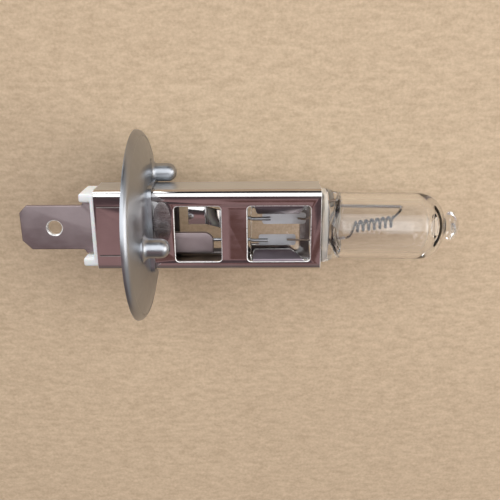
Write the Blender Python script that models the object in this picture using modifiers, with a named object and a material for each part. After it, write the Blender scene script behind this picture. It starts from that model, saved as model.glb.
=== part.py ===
"""Single-filament halogen headlight capsule: blade terminal, sleeve base with focus flange, quartz burner.

+X runs from the blade to the glass tip, +Z is the outward normal of a windowed face.
Stations along X are counted from the reference plane, which the three flange bosses seat on.
"""
import math

import bmesh
import bpy
from mathutils import Matrix

MM = 0.001

# Fits
CLEARANCE = 0.10 * MM  # between pieces that pass through or sit in each other
WELD_GAP = 0.04 * MM  # between pieces that are welded face to face

# Blade terminal
BLADE_REAR_X = -21.5 * MM
BLADE_WIDTH = 6.3 * MM
BLADE_THICKNESS = 0.8 * MM
BLADE_CORNER_TOP = 1.0 * MM
BLADE_CORNER_BOTTOM = 1.3 * MM
BLADE_HOLE_X = -16.8 * MM
BLADE_HOLE_RADIUS = 1.0 * MM
SHOULDER_WIDTH = 7.4 * MM
SHOULDER_REAR_X = -13.1 * MM
SHOULDER_FRONT_X = -9.0 * MM
SHOULDER_SLOPE = 0.4 * MM
TONGUE_FRONT_X = 5.2 * MM
TONGUE_WIDTH = 2.9 * MM
TONGUE_CORNER = 1.3 * MM

# Ceramic insulator
CERAMIC_REAR_X = -11.2 * MM
CERAMIC_FRONT_X = -3.0 * MM
CERAMIC_CORNER = 0.5 * MM
EAR_REAR_X = -12.75 * MM
EAR_HEIGHT = 1.1 * MM
EAR_INSET = 0.05 * MM

# Folded sleeve
SLEEVE_REAR_X = -10.66 * MM
SLEEVE_LENGTH = 30.62 * MM
SLEEVE_WIDTH = 11.3 * MM
SLEEVE_DEPTH = 6.3 * MM
SLEEVE_WALL = 0.35 * MM
SLEEVE_CORNER = 0.9 * MM
WINDOW_TOP_MARGIN = 2.22 * MM
WINDOW_BOTTOM_MARGIN = 1.35 * MM
WINDOW_CORNER = 0.45 * MM
REAR_WINDOW_START_X = 0.14 * MM
REAR_WINDOW_LENGTH = 6.28 * MM
BRIDGE_LENGTH = 3.57 * MM
FRONT_STRIP_LENGTH = 1.46 * MM

# Flaps of the front window, bent in until they press on the pinch
FLAP_ANGLE = math.radians(47)
FLAP_ROOT = 0.06 * MM  # how far the flap's root reaches into the wall
BOTTOM_FLAP_INSET = 0.7 * MM
BOTTOM_FLAP_SLANT = 1.8 * MM
TOP_FLAP_INSET = 1.0 * MM
TOP_FLAP_SLANT = 0.2 * MM

# Focus flange
FLANGE_RADIUS = 13.28 * MM
FLANGE_SHOULDER = 3.78 * MM
FLANGE_FACE_X = -3.3 * MM
FLANGE_SHEET = 0.7 * MM
FLANGE_RIM_X = -4.45 * MM
FLANGE_BEAD_RADIUS = 0.6 * MM
COLLAR_FRONT_X = -2.5 * MM
COLLAR_WALL = 0.45 * MM
BOSS_SIDE_GAP = 0.11 * MM  # between the first boss and the sleeve's side
BOSS_FIRST_ANGLE = math.radians(-22.5)  # from +Y towards +Z
BOSS_COUNT = 3
BOSS_RADIUS = 1.2 * MM
BOSS_FILLET = 0.9 * MM
BOSS_WALL = 0.5 * MM

# Quartz envelope
PINCH_INSET = 0.66 * MM  # from the sleeve's front edge back to the end of the flat pinch
PINCH_LENGTH = 8.9 * MM
PINCH_THICKNESS = 2.9 * MM
PINCH_SIDE_GAP = 0.15 * MM
GLASS_RADIUS = 4.62 * MM
GLASS_WALL = 1.0 * MM
SHOULDER_BULGE = 0.4 * MM  # how far the glass swells past the tube in front of the sleeve
SHOULDER_LENGTH = 3.0 * MM  # from the sleeve's front edge to the round tube
TUBE_LENGTH = 10.44 * MM
DOME_LENGTH = 3.5 * MM
NECK_RADIUS = 1.55 * MM
NECK_LENGTH = 0.15 * MM
NUB_RADIUS = 1.95 * MM
NUB_LENGTH = 2.25 * MM
CAVITY_REAR_DEPTH = 1.9 * MM  # how far the hollow reaches back from the round tube
GLASS_SIDES = 40
CAVITY_SIDES = 28

# Foils sealed in the pinch
FOIL_WIDTH = 1.6 * MM
FOIL_THICKNESS = 0.1 * MM
UPPER_FOIL_INSET = 1.0 * MM  # from the end of the flat pinch
UPPER_FOIL_LENGTH = 6.1 * MM
LOWER_FOIL_INSET = 2.4 * MM
LOWER_FOIL_LENGTH = 5.2 * MM
UPPER_FOIL_Y = 1.0 * MM
LOWER_FOIL_Y = -2.1 * MM
FOIL_OVERLAP = 1.2 * MM  # length of a lead that lies on its foil

# Leads
OUTER_LEAD_RADIUS = 0.25 * MM
INNER_LEAD_RADIUS = 0.15 * MM
WELD_LENGTH = 2.0 * MM  # length of an outer lead that lies under the tongue or strap
LONG_LEAD_REACH = 8.34 * MM  # from the rear of the round tube
LONG_LEAD_WALL_GAP = 0.94 * MM
SHORT_LEAD_REACH = 0.74 * MM  # from the rear of the round tube
SHORT_LEAD_Y = -1.85 * MM
OVERWIND_WIRE_RADIUS = 0.055 * MM
OVERWIND_PITCH = 0.4 * MM
OVERWIND_STEPS = 8
OVERWIND_END_GAP = 0.45 * MM

# Filament
FILAMENT_INSET = 1.94 * MM  # from the rear of the round tube
FILAMENT_LENGTH = 5.4 * MM
FILAMENT_COIL_RADIUS = 0.65 * MM
FILAMENT_WIRE_RADIUS = 0.14 * MM
FILAMENT_TURNS = 7
FILAMENT_STEPS = 14
FILAMENT_REAR_Y = -0.47 * MM
FILAMENT_FRONT_Y = 0.32 * MM

# Ground strap
STRAP_WELD_LENGTH = 2.55 * MM  # its flat end that the upper lead is welded to
STRAP_RISE_LENGTH = 2.4 * MM
STRAP_SEAT_INSET = 0.28 * MM  # from the rear window to the end that is welded to the bridge
STRAP_SEAT_LENGTH = 2.7 * MM
STRAP_BOTTOM_Y = 0.3 * MM
STRAP_WIDTH = 2.5 * MM
STRAP_THICKNESS = 0.3 * MM

# Sizes that follow from the ones above
SLEEVE_FRONT_X = SLEEVE_REAR_X + SLEEVE_LENGTH
WINDOW_TOP_Y = SLEEVE_WIDTH / 2 - WINDOW_TOP_MARGIN
WINDOW_BOTTOM_Y = WINDOW_BOTTOM_MARGIN - SLEEVE_WIDTH / 2
REAR_WINDOW_X = (REAR_WINDOW_START_X, REAR_WINDOW_START_X + REAR_WINDOW_LENGTH)
FRONT_WINDOW_X = (REAR_WINDOW_X[1] + BRIDGE_LENGTH, SLEEVE_FRONT_X - FRONT_STRIP_LENGTH)
FLANGE_FACE_RADIUS = FLANGE_RADIUS - FLANGE_SHOULDER
BOSS_CIRCLE_RADIUS = (SLEEVE_WIDTH / 2 + BOSS_SIDE_GAP + BOSS_RADIUS) / math.cos(BOSS_FIRST_ANGLE)
PINCH_FRONT_X = SLEEVE_FRONT_X - PINCH_INSET
PINCH_REAR_X = PINCH_FRONT_X - PINCH_LENGTH
TUBE_REAR_X = SLEEVE_FRONT_X + SHOULDER_LENGTH
TUBE_FRONT_X = TUBE_REAR_X + TUBE_LENGTH
DOME_FRONT_X = TUBE_FRONT_X + DOME_LENGTH
NUB_REAR_X = DOME_FRONT_X + NECK_LENGTH
NUB_TIP_X = NUB_REAR_X + NUB_LENGTH
CAVITY_REAR_X = TUBE_REAR_X - CAVITY_REAR_DEPTH
UPPER_FOIL_X = (PINCH_FRONT_X - UPPER_FOIL_INSET - UPPER_FOIL_LENGTH, PINCH_FRONT_X - UPPER_FOIL_INSET)
LOWER_FOIL_X = (PINCH_FRONT_X - LOWER_FOIL_INSET - LOWER_FOIL_LENGTH, PINCH_FRONT_X - LOWER_FOIL_INSET)
LONG_LEAD_FRONT_X = TUBE_REAR_X + LONG_LEAD_REACH
SHORT_LEAD_FRONT_X = TUBE_REAR_X + SHORT_LEAD_REACH
FILAMENT_REAR_X = TUBE_REAR_X + FILAMENT_INSET
STRAP_RISE_X = REAR_WINDOW_X[1] + STRAP_SEAT_INSET
STRAP_FRONT_X = STRAP_RISE_X + STRAP_SEAT_LENGTH
STRAP_BEND_X = STRAP_RISE_X - STRAP_RISE_LENGTH
STRAP_REAR_X = STRAP_BEND_X - STRAP_WELD_LENGTH
ORIGIN_X = (BLADE_REAR_X + NUB_TIP_X) / 2
SLEEVE_INNER_WIDTH = SLEEVE_WIDTH - 2 * SLEEVE_WALL
SLEEVE_INNER_DEPTH = SLEEVE_DEPTH - 2 * SLEEVE_WALL
SLEEVE_INNER_CORNER = SLEEVE_CORNER - SLEEVE_WALL
BLADE_BOTTOM_Z = OUTER_LEAD_RADIUS + WELD_GAP
BLADE_TOP_Z = BLADE_BOTTOM_Z + BLADE_THICKNESS
TONGUE_BOTTOM_Y = LOWER_FOIL_Y - 0.55 * TONGUE_WIDTH
TONGUE_TOP_Y = TONGUE_BOTTOM_Y + TONGUE_WIDTH
FOIL_Z = -(OUTER_LEAD_RADIUS + WELD_GAP + FOIL_THICKNESS / 2)
CAVITY_RADIUS = GLASS_RADIUS - GLASS_WALL
LONG_LEAD_Y = CAVITY_RADIUS - LONG_LEAD_WALL_GAP
PINCH_WIDTH = SLEEVE_INNER_WIDTH - 2 * PINCH_SIDE_GAP


def clear_scene():
    for thing in list(bpy.data.objects):
        bpy.data.objects.remove(thing, do_unlink=True)


def new_collection(name):
    collection = bpy.data.collections.new(name)
    bpy.context.scene.collection.children.link(collection)
    return collection


clear_scene()
PARTS = new_collection("headlight_bulb")
CUTTERS = new_collection("headlight_bulb_cutters")
REFERENCE = bpy.data.objects.new("reference_plane", None)
REFERENCE.location.x = -ORIGIN_X
PARTS.objects.link(REFERENCE)


def finish(name, colour, roughness, metallic, transmission=0.0):
    material = bpy.data.materials.new(name)
    material.use_nodes = True
    shader = material.node_tree.nodes["Principled BSDF"]
    shader.inputs["Base Color"].default_value = (*colour, 1.0)
    shader.inputs["Roughness"].default_value = roughness
    shader.inputs["Metallic"].default_value = metallic
    shader.inputs["Transmission Weight"].default_value = transmission
    return material


def add_part(name, data, material):
    part = bpy.data.objects.new(name, data)
    part.parent = REFERENCE
    PARTS.objects.link(part)
    part.data.materials.append(material)
    return part


def add_cutter(name, data, place=None):
    cutter = bpy.data.objects.new(name, data)
    cutter.parent = REFERENCE
    if place is not None:
        cutter.matrix_local = place
    cutter.hide_render = True
    cutter.display_type = "WIRE"
    CUTTERS.objects.link(cutter)
    return cutter


def combine(part, tool, operation):
    boolean = part.modifiers.new(tool.name, "BOOLEAN")
    boolean.operation = operation
    boolean.solver = "EXACT"
    boolean.object = tool


def shade(mesh):
    mesh.shade_smooth()
    mesh.set_sharp_from_angle(angle=math.radians(35))


def box_mesh(name, low, high, axis=0, corner=0.0, segments=4):
    """A box between two corners; the edges along one axis are rounded."""
    mesh_data = bmesh.new()
    bmesh.ops.create_cube(mesh_data, size=1.0)
    bmesh.ops.scale(mesh_data, vec=[b - a for a, b in zip(low, high)], verts=mesh_data.verts)
    bmesh.ops.translate(mesh_data, vec=[(a + b) / 2 for a, b in zip(low, high)], verts=mesh_data.verts)
    if corner:
        edges = [e for e in mesh_data.edges if abs((e.verts[1].co - e.verts[0].co)[axis]) > corner / 10]
        bmesh.ops.bevel(mesh_data, geom=edges, offset=corner, segments=segments, profile=0.5, affect="EDGES")
    mesh = bpy.data.meshes.new(name)
    mesh_data.to_mesh(mesh)
    mesh_data.free()
    return mesh


def sleeve_box(name, rear, front, width, depth, corner, segments=4):
    """A box centred on the axis, with its long edges rounded."""
    low = (rear, -width / 2, -depth / 2)
    high = (front, width / 2, depth / 2)
    return box_mesh(name, low, high, axis=0, corner=corner, segments=segments)


def wire_curve(name, points, radius, resolution=2):
    """A round wire through the points, with closed ends."""
    curve = bpy.data.curves.new(name, "CURVE")
    curve.dimensions = "3D"
    curve.bevel_depth = radius
    curve.bevel_resolution = resolution
    curve.use_fill_caps = True
    spline = curve.splines.new("POLY")
    spline.points.add(len(points) - 1)
    for target, point in zip(spline.points, points):
        target.co = (*point, 1.0)
    return curve


def curve_to_mesh(curve):
    """The curve's evaluated surface as one welded closed mesh."""
    carrier = bpy.data.objects.new(curve.name, curve)
    bpy.context.scene.collection.objects.link(carrier)
    graph = bpy.context.evaluated_depsgraph_get()
    mesh = bpy.data.meshes.new_from_object(carrier.evaluated_get(graph))
    bpy.data.objects.remove(carrier, do_unlink=True)
    mesh_data = bmesh.new()
    mesh_data.from_mesh(mesh)
    bmesh.ops.remove_doubles(mesh_data, verts=mesh_data.verts, dist=0.00001 * MM)
    bmesh.ops.recalc_face_normals(mesh_data, faces=mesh_data.faces)
    mesh_data.to_mesh(mesh)
    mesh_data.free()
    return mesh


def plate_mesh(name, outlines, thickness):
    """A flat plate in the XY plane; the first outline is its edge and the others are holes."""
    curve = bpy.data.curves.new(name, "CURVE")
    curve.dimensions = "2D"
    curve.fill_mode = "BOTH"
    curve.extrude = thickness / 2
    for outline in outlines:
        spline = curve.splines.new("POLY")
        spline.points.add(len(outline) - 1)
        for target, (x, y) in zip(spline.points, outline):
            target.co = (x, y, 0.0, 1.0)
        spline.use_cyclic_u = True
    return curve_to_mesh(curve)


def turned_object(name, profile, steps, keep):
    """A shape turned about X from (radius, x) points that run from the front pole to the rear pole."""
    mesh = bpy.data.meshes.new(name)
    vertices = [(radius, 0.0, x) for radius, x in profile]
    mesh.from_pydata(vertices, [(i, i + 1) for i in range(len(vertices) - 1)], [])
    along_x = Matrix.Rotation(math.pi / 2, 4, "Y")
    if keep is None:
        turned = add_cutter(name, mesh, along_x)
    else:
        turned = add_part(name, mesh, keep)
        turned.matrix_local = along_x
    screw = turned.modifiers.new("turn", "SCREW")
    screw.steps = steps
    screw.render_steps = steps
    screw.use_merge_vertices = True
    screw.merge_threshold = 0.00001
    screw.use_smooth_shade = True
    return turned


def arc(centre, radii, start, stop, steps):
    """Points on an ellipse from one angle to another, in degrees."""
    angles = [math.radians(start + (stop - start) * i / steps) for i in range(steps + 1)]
    return [(centre[0] + radii[0] * math.cos(a), centre[1] + radii[1] * math.sin(a)) for a in angles]


def make_blade(steel):
    half = BLADE_WIDTH / 2
    shoulder = SHOULDER_WIDTH / 2
    corner = (TONGUE_FRONT_X - TONGUE_CORNER, TONGUE_TOP_Y - TONGUE_CORNER)
    outline = [
        (BLADE_REAR_X, half - BLADE_CORNER_TOP),
        (BLADE_REAR_X, BLADE_CORNER_BOTTOM - half),
        (BLADE_REAR_X + BLADE_CORNER_BOTTOM, -half),
        (SHOULDER_REAR_X, -half),
        (SHOULDER_REAR_X + SHOULDER_SLOPE, -shoulder),
        (SHOULDER_FRONT_X, -shoulder),
        (SHOULDER_FRONT_X, TONGUE_BOTTOM_Y),
        (TONGUE_FRONT_X, TONGUE_BOTTOM_Y),
        *arc(corner, (TONGUE_CORNER, TONGUE_CORNER), 0, 90, 6),
        (SHOULDER_FRONT_X, TONGUE_TOP_Y),
        (SHOULDER_FRONT_X, shoulder),
        (SHOULDER_REAR_X + SHOULDER_SLOPE, shoulder),
        (SHOULDER_REAR_X, half),
        (BLADE_REAR_X + BLADE_CORNER_TOP, half),
    ]
    hole = arc((BLADE_HOLE_X, 0.0), (BLADE_HOLE_RADIUS, BLADE_HOLE_RADIUS), 0, 345, 23)
    blade = add_part("terminal_blade", plate_mesh("terminal_blade", [outline, hole], BLADE_THICKNESS), steel)
    blade.location.z = BLADE_BOTTOM_Z + BLADE_THICKNESS / 2


def make_ceramic(ceramic):
    width = SLEEVE_INNER_WIDTH - 2 * CLEARANCE
    depth = SLEEVE_INNER_DEPTH - 2 * CLEARANCE
    body = sleeve_box("ceramic_insulator", CERAMIC_REAR_X, CERAMIC_FRONT_X, width, depth, CERAMIC_CORNER, 3)
    insulator = add_part("ceramic_insulator", body, ceramic)
    ear_z = depth / 2 - EAR_INSET
    for side in (-1, 1):
        outer = side * (width / 2 - EAR_INSET)
        inner = side * (width / 2 - EAR_INSET - EAR_HEIGHT)
        low = (EAR_REAR_X, min(outer, inner), -ear_z)
        high = (CERAMIC_REAR_X + EAR_INSET, max(outer, inner), ear_z)
        ear = box_mesh(f"ceramic_ear_{side}", low, high, axis=0, corner=EAR_INSET, segments=2)
        combine(insulator, add_cutter(f"ceramic_ear_{side}", ear), "UNION")
    slot_low = BLADE_BOTTOM_Z - CLEARANCE
    slot_high = BLADE_TOP_Z + CLEARANCE
    shoulder = SHOULDER_WIDTH / 2 + CLEARANCE
    slots = {
        "shoulder_slot": (EAR_REAR_X - CLEARANCE, SHOULDER_FRONT_X + CLEARANCE, -shoulder, shoulder),
        "tongue_slot": (
            SHOULDER_FRONT_X - CLEARANCE,
            CERAMIC_FRONT_X + CLEARANCE,
            TONGUE_BOTTOM_Y - CLEARANCE,
            TONGUE_TOP_Y + CLEARANCE,
        ),
    }
    for name, (rear, front, bottom, top) in slots.items():
        slot = box_mesh(name, (rear, bottom, slot_low), (front, top, slot_high))
        combine(insulator, add_cutter(name, slot), "DIFFERENCE")


def add_flap(sleeve, side, face):
    """One flap of the front window: side +1 is its top edge, face +1 is the +Z wall."""
    wall_z = SLEEVE_DEPTH / 2 - SLEEVE_WALL / 2
    drop = wall_z - PINCH_THICKNESS / 2 - CLEARANCE - SLEEVE_WALL / 2 * math.cos(FLAP_ANGLE)
    length = drop / math.sin(FLAP_ANGLE)
    inset = TOP_FLAP_INSET if side > 0 else BOTTOM_FLAP_INSET
    slant = TOP_FLAP_SLANT if side > 0 else BOTTOM_FLAP_SLANT
    rear = FRONT_WINDOW_X[0] + inset
    front = FRONT_WINDOW_X[1] - inset
    outline = [(rear, -FLAP_ROOT), (front, -FLAP_ROOT), (front, 0.0), (front - slant, length), (rear, length)]
    name = f"flap_{'top' if side > 0 else 'bottom'}_{'front' if face > 0 else 'back'}"
    mesh = plate_mesh(name, [outline], SLEEVE_WALL)
    edge_y = WINDOW_TOP_Y if side > 0 else WINDOW_BOTTOM_Y
    fold = Matrix.Rotation(-FLAP_ANGLE, 4, "X")
    mesh.transform(Matrix.Diagonal((1, -side, face, 1)) @ Matrix.Translation((0, 0, wall_z)) @ fold)
    mesh.transform(Matrix.Translation((0, edge_y, 0)))
    if side * face > 0:
        mesh.flip_normals()
    combine(sleeve, add_cutter(name, mesh), "UNION")


def make_sleeve(steel):
    outer = sleeve_box("base_sleeve", SLEEVE_REAR_X, SLEEVE_FRONT_X, SLEEVE_WIDTH, SLEEVE_DEPTH, SLEEVE_CORNER)
    sleeve = add_part("base_sleeve", outer, steel)
    inner = sleeve_box(
        "sleeve_hollow",
        SLEEVE_REAR_X - SLEEVE_WALL,
        SLEEVE_FRONT_X + SLEEVE_WALL,
        SLEEVE_INNER_WIDTH,
        SLEEVE_INNER_DEPTH,
        SLEEVE_INNER_CORNER,
    )
    combine(sleeve, add_cutter("sleeve_hollow", inner), "DIFFERENCE")
    for name, (rear, front) in (("rear_window", REAR_WINDOW_X), ("front_window", FRONT_WINDOW_X)):
        low = (rear, WINDOW_BOTTOM_Y, -SLEEVE_DEPTH)
        high = (front, WINDOW_TOP_Y, SLEEVE_DEPTH)
        window = box_mesh(name, low, high, axis=2, corner=WINDOW_CORNER, segments=3)
        combine(sleeve, add_cutter(name, window), "DIFFERENCE")
    for side in (-1, 1):
        for face in (-1, 1):
            add_flap(sleeve, side, face)


def flange_profile():
    """The flange's section: flat face, rounded shoulder, beaded rim and flat back."""
    shoulder = (FLANGE_RADIUS - FLANGE_FACE_RADIUS, FLANGE_FACE_X - FLANGE_RIM_X)
    bead = (FLANGE_BEAD_RADIUS, FLANGE_BEAD_RADIUS)
    back_x = FLANGE_FACE_X - FLANGE_SHEET
    return [
        (0.0, FLANGE_FACE_X),
        *arc((FLANGE_FACE_RADIUS, FLANGE_RIM_X), shoulder, 90, 0, 6),
        *arc((FLANGE_RADIUS - FLANGE_BEAD_RADIUS, FLANGE_RIM_X), bead, -30, -180, 5),
        (FLANGE_RADIUS - 3 * FLANGE_BEAD_RADIUS, back_x),
        (0.0, back_x),
    ]


def make_flange(steel):
    flange = turned_object("focus_flange", flange_profile(), 64, steel)
    width = SLEEVE_WIDTH + 2 * CLEARANCE
    depth = SLEEVE_DEPTH + 2 * CLEARANCE
    corner = SLEEVE_CORNER + CLEARANCE
    collar = sleeve_box(
        "collar",
        FLANGE_FACE_X - FLANGE_SHEET / 2,
        COLLAR_FRONT_X,
        width + 2 * COLLAR_WALL,
        depth + 2 * COLLAR_WALL,
        corner + COLLAR_WALL,
    )
    combine(flange, add_cutter("collar", collar), "UNION")
    boss_section = [
        (0.0, 0.0),
        *arc((BOSS_RADIUS - BOSS_FILLET, -BOSS_FILLET), (BOSS_FILLET, BOSS_FILLET), 90, 0, 5),
        (BOSS_RADIUS, FLANGE_FACE_X - FLANGE_SHEET / 2),
        (0.0, FLANGE_FACE_X - FLANGE_SHEET / 2),
    ]
    hollow = BOSS_RADIUS - BOSS_WALL
    dimple_section = [
        (0.0, -BOSS_WALL),
        *arc((0.0, -BOSS_WALL - hollow), (hollow, hollow), 72, 0, 4),
        (hollow, FLANGE_FACE_X - 2 * FLANGE_SHEET),
        (0.0, FLANGE_FACE_X - 2 * FLANGE_SHEET),
    ]
    dimples = []
    for index in range(BOSS_COUNT):
        angle = BOSS_FIRST_ANGLE + index * 2 * math.pi / BOSS_COUNT
        boss = turned_object(f"boss_{index + 1}", boss_section, 20, None)
        dimple = turned_object(f"dimple_{index + 1}", dimple_section, 12, None)
        for turned in (boss, dimple):
            turned.location.y = BOSS_CIRCLE_RADIUS * math.cos(angle)
            turned.location.z = BOSS_CIRCLE_RADIUS * math.sin(angle)
        combine(flange, boss, "UNION")
        dimples.append(dimple)
    passage = sleeve_box(
        "sleeve_passage", FLANGE_RIM_X - FLANGE_SHEET, COLLAR_FRONT_X + FLANGE_SHEET, width, depth, corner
    )
    combine(flange, add_cutter("sleeve_passage", passage), "DIFFERENCE")
    for dimple in dimples:
        combine(flange, dimple, "DIFFERENCE")


def glass_ring(mesh_data, x, half_width, half_depth, squareness):
    """One section of the envelope: a circle at squareness 2, nearly a rectangle at 8."""
    power = 2 / squareness
    ring = []
    for index in range(GLASS_SIDES):
        angle = 2 * math.pi * index / GLASS_SIDES
        cos, sin = math.cos(angle), math.sin(angle)
        y = math.copysign(abs(cos) ** power, cos) * half_width
        z = math.copysign(abs(sin) ** power, sin) * half_depth
        ring.append(mesh_data.verts.new((x, y, z)))
    return [mesh_data.edges.new((ring[i - 1], ring[i])) for i in range(GLASS_SIDES)], ring


def envelope_sections():
    """(x, half width, half depth, squareness) from the pinch's rear end to the nub's tip."""
    half_width = PINCH_WIDTH / 2
    half_depth = PINCH_THICKNESS / 2
    bulge = GLASS_RADIUS + SHOULDER_BULGE
    step = (TUBE_REAR_X - SLEEVE_FRONT_X) / 4
    sections = [
        (PINCH_REAR_X, 0.96 * half_width, 0.75 * half_depth, 6),
        (PINCH_REAR_X + 0.3 * MM, half_width, half_depth, 8),
        (PINCH_FRONT_X, half_width, half_depth, 8),
        (SLEEVE_FRONT_X, half_width, 1.35 * half_depth, 6),
        (SLEEVE_FRONT_X + 0.5 * step, bulge, 0.68 * bulge, 5),
        (SLEEVE_FRONT_X + 1.2 * step, bulge, 0.78 * bulge, 4),
        (SLEEVE_FRONT_X + 2.2 * step, 0.55 * bulge + 0.45 * GLASS_RADIUS, 0.92 * GLASS_RADIUS, 2.9),
        (SLEEVE_FRONT_X + 3.2 * step, GLASS_RADIUS, 0.99 * GLASS_RADIUS, 2.2),
        (TUBE_REAR_X, GLASS_RADIUS, GLASS_RADIUS, 2),
    ]
    turned = [(GLASS_RADIUS, TUBE_FRONT_X)]
    dome = (GLASS_RADIUS - NECK_RADIUS, DOME_FRONT_X - TUBE_FRONT_X)
    turned += arc((NECK_RADIUS, TUBE_FRONT_X), dome, 12, 84, 5)
    turned.append((NECK_RADIUS, NUB_REAR_X))
    turned += arc((0.0, NUB_TIP_X - NUB_LENGTH / 2), (NUB_RADIUS, NUB_LENGTH / 2), -36, 72, 5)
    sections += [(x, radius, radius, 2) for radius, x in turned]
    sections.append((NUB_TIP_X, 0.2 * NUB_RADIUS, 0.2 * NUB_RADIUS, 2))
    return sections


def envelope_mesh():
    mesh_data = bmesh.new()
    rings = [glass_ring(mesh_data, *section) for section in envelope_sections()]
    for (rear_edges, _), (front_edges, _) in zip(rings, rings[1:]):
        bmesh.ops.bridge_loops(mesh_data, edges=rear_edges + front_edges)
    mesh_data.faces.new(rings[0][1])
    mesh_data.faces.new(rings[-1][1])
    bmesh.ops.recalc_face_normals(mesh_data, faces=mesh_data.faces)
    mesh = bpy.data.meshes.new("quartz_envelope")
    mesh_data.to_mesh(mesh)
    mesh_data.free()
    shade(mesh)
    return mesh


def cavity_profile():
    dome_front = DOME_FRONT_X - 1.3 * GLASS_WALL
    rear_rise = TUBE_REAR_X - CAVITY_REAR_X
    return [
        *arc((0.0, TUBE_FRONT_X), (CAVITY_RADIUS, dome_front - TUBE_FRONT_X), 90, 0, 5),
        (CAVITY_RADIUS, TUBE_REAR_X),
        *arc((0.0, TUBE_REAR_X), (CAVITY_RADIUS, rear_rise), -25, -90, 4),
    ]


def long_lead_points():
    return [
        (UPPER_FOIL_X[1] - FOIL_OVERLAP, UPPER_FOIL_Y, 0.0),
        (UPPER_FOIL_X[1] + CLEARANCE, UPPER_FOIL_Y, 0.0),
        (CAVITY_REAR_X - GLASS_WALL, LONG_LEAD_Y - 0.2 * MM, 0.0),
        (CAVITY_REAR_X, LONG_LEAD_Y, 0.0),
        (LONG_LEAD_FRONT_X, LONG_LEAD_Y, 0.0),
    ]


def short_lead_points():
    return [
        (LOWER_FOIL_X[1] - FOIL_OVERLAP, LOWER_FOIL_Y, 0.0),
        (CAVITY_REAR_X - GLASS_WALL, LOWER_FOIL_Y, 0.0),
        (SHORT_LEAD_FRONT_X, SHORT_LEAD_Y, 0.0),
    ]


def upper_outer_points():
    rear = STRAP_BEND_X - WELD_LENGTH
    return [(rear, UPPER_FOIL_Y, 0.0), (UPPER_FOIL_X[0] + FOIL_OVERLAP, UPPER_FOIL_Y, 0.0)]


def lower_outer_points():
    rear = TONGUE_FRONT_X - WELD_LENGTH
    return [(rear, LOWER_FOIL_Y, 0.0), (LOWER_FOIL_X[0] + FOIL_OVERLAP, LOWER_FOIL_Y, 0.0)]


def foil_box(name, span, y, grow=0.0):
    half_width = FOIL_WIDTH / 2 + grow
    half_thick = FOIL_THICKNESS / 2 + grow
    low = (span[0] - grow, y - half_width, FOIL_Z - half_thick)
    high = (span[1] + grow, y + half_width, FOIL_Z + half_thick)
    return box_mesh(name, low, high)


def make_envelope(quartz):
    envelope = add_part("quartz_envelope", envelope_mesh(), quartz)
    combine(envelope, turned_object("burner_cavity", cavity_profile(), CAVITY_SIDES, None), "DIFFERENCE")
    long_route = long_lead_points()[:-1] + [(TUBE_REAR_X, LONG_LEAD_Y, 0.0)]
    channels = {
        "long_lead_channel": (long_route, INNER_LEAD_RADIUS, 0),
        "short_lead_channel": (short_lead_points(), INNER_LEAD_RADIUS, 0),
        "upper_outer_channel": (upper_outer_points(), OUTER_LEAD_RADIUS, -1),
        "lower_outer_channel": (lower_outer_points(), OUTER_LEAD_RADIUS, -1),
    }
    for name, (points, radius, blind_end) in channels.items():
        x, y, z = points[blind_end]
        points[blind_end] = (x - CLEARANCE if blind_end == 0 else x + CLEARANCE, y, z)
        channel = curve_to_mesh(wire_curve(name, points, radius + CLEARANCE))
        combine(envelope, add_cutter(name, channel), "DIFFERENCE")
    for name, span, y in (
        ("upper_foil_pocket", UPPER_FOIL_X, UPPER_FOIL_Y),
        ("lower_foil_pocket", LOWER_FOIL_X, LOWER_FOIL_Y),
    ):
        combine(envelope, add_cutter(name, foil_box(name, span, y, CLEARANCE)), "DIFFERENCE")


def make_foils(molybdenum):
    add_part("foil_upper", foil_box("foil_upper", UPPER_FOIL_X, UPPER_FOIL_Y), molybdenum)
    add_part("foil_lower", foil_box("foil_lower", LOWER_FOIL_X, LOWER_FOIL_Y), molybdenum)


def overwind_points(rear, front):
    """A fine coil round the straight lead between two (x, y) points."""
    length = math.dist(rear, front)
    steps = int(length / OVERWIND_PITCH) * OVERWIND_STEPS
    radius = INNER_LEAD_RADIUS + WELD_GAP + 1.1 * OVERWIND_WIRE_RADIUS
    radius /= math.cos(math.pi / OVERWIND_STEPS)
    tilt = math.atan2(front[1] - rear[1], front[0] - rear[0])
    points = []
    for step in range(steps + 1):
        along = length * step / steps
        turn = 2 * math.pi * step / OVERWIND_STEPS
        across = radius * math.cos(turn)
        x = rear[0] + along * math.cos(tilt) - across * math.sin(tilt)
        y = rear[1] + along * math.sin(tilt) + across * math.cos(tilt)
        points.append((x, y, radius * math.sin(turn)))
    return points


def make_leads(molybdenum, tungsten):
    wires = {
        "inner_lead_long": (long_lead_points(), INNER_LEAD_RADIUS),
        "inner_lead_short": (short_lead_points(), INNER_LEAD_RADIUS),
        "outer_lead_upper": (upper_outer_points(), OUTER_LEAD_RADIUS),
        "outer_lead_lower": (lower_outer_points(), OUTER_LEAD_RADIUS),
    }
    for name, (points, radius) in wires.items():
        add_part(name, wire_curve(name, points, radius), molybdenum)
    long_rear = (CAVITY_REAR_X + 1.6 * MM, LONG_LEAD_Y)
    long_front = (LONG_LEAD_FRONT_X - OVERWIND_END_GAP, LONG_LEAD_Y)
    add_part("overwind_long", wire_curve("overwind_long", overwind_points(long_rear, long_front),
                                         OVERWIND_WIRE_RADIUS, 1), tungsten)
    route = short_lead_points()
    slope = (route[2][1] - route[1][1]) / (route[2][0] - route[1][0])
    short_rear_x = CAVITY_REAR_X + 0.75 * MM
    short_rear = (short_rear_x, route[1][1] + slope * (short_rear_x - route[1][0]))
    short_front = (SHORT_LEAD_FRONT_X - 0.1 * MM, SHORT_LEAD_Y - slope * 0.1 * MM)
    add_part("overwind_short", wire_curve("overwind_short", overwind_points(short_rear, short_front),
                                          OVERWIND_WIRE_RADIUS, 1), tungsten)


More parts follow.
